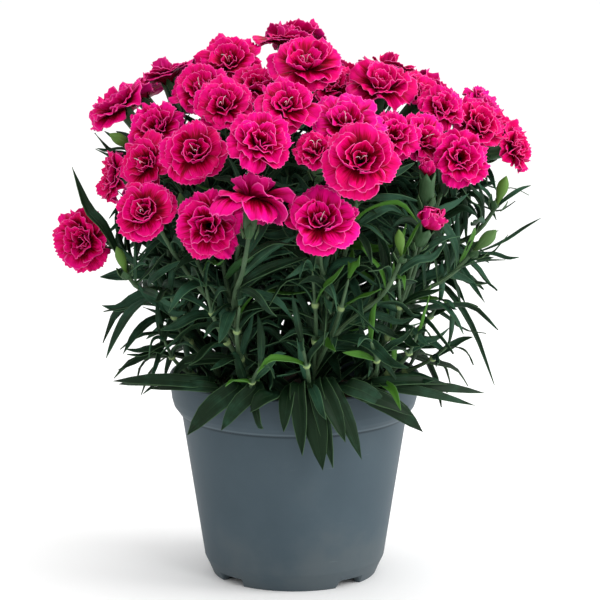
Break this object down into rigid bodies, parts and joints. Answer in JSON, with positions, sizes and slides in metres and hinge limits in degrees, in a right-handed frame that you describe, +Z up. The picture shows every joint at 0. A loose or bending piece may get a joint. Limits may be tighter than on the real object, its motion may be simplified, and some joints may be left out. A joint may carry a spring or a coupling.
{
  "type": "potted dianthus plant",
  "caption": "Bushy double-flowered dianthus in full bloom, growing in a tapered round nursery pot with a banded rim; stands freely on its pot's feet.",
  "frame": {"origin": "on the surface that the pot stands on, under the middle of the plant's box, which is the pot's axis to within 2 mm", "axes": "+Z up along the pot's axis; the plant's show side faces -Y; +X to the right of someone looking at that side"},
  "size_m": [0.2482, 0.2381, 0.2874],
  "materials": {
    "petal": "satin petals, deep pink with crimson centres and pale toothed margins",
    "leaf": "waxy blue-green leaves, stems and calyxes",
    "pot_plastic": "slate grey moulded plastic, matt with a soft sheen",
    "peat": "rough dark brown peat compost"
  },
  "bodies": {
    "root": {"bloom_01": "petal", "bloom_02": "petal", "bloom_03": "petal", "bloom_04": "petal", "bloom_05": "petal", "bloom_06": "petal", "bloom_07": "petal", "bloom_08": "petal", "bloom_09": "petal", "bloom_10": "petal", "bloom_11": "petal", "bloom_12": "petal", "bloom_13": "petal", "bloom_14": "petal", "bloom_15": "petal", "bloom_16": "petal", "bloom_17": "petal", "bloom_18": "petal", "bloom_19": "petal", "bloom_20": "petal", "bloom_21": "petal", "bloom_22": "petal", "bloom_23": "petal", "bloom_24": "petal", "bloom_25": "petal", "bloom_26": "petal", "bloom_27": "petal", "bloom_28": "petal", "bloom_29": "petal", "bloom_30": "petal", "bloom_31": "petal", "bloom_32": "petal", "bloom_33": "petal", "bloom_34": "petal", "bloom_35": "petal", "bloom_36": "petal", "bloom_37": "petal", "bloom_38": "petal", "bloom_39": "petal", "bloom_40": "petal", "bloom_41": "petal", "bloom_42": "petal", "bloom_43": "petal", "bloom_44": "petal", "bud_tuft_1": "petal", "bud_tuft_2": "petal", "pot": "pot_plastic", "shoot_01": "leaf", "shoot_02": "leaf", "shoot_03": "leaf", "shoot_04": "leaf", "shoot_05": "leaf", "shoot_06": "leaf", "shoot_07": "leaf", "shoot_08": "leaf", "shoot_09": "leaf", "shoot_10": "leaf", "shoot_11": "leaf", "shoot_12": "leaf", "soil": "peat"}
  },
  "joints": []
}
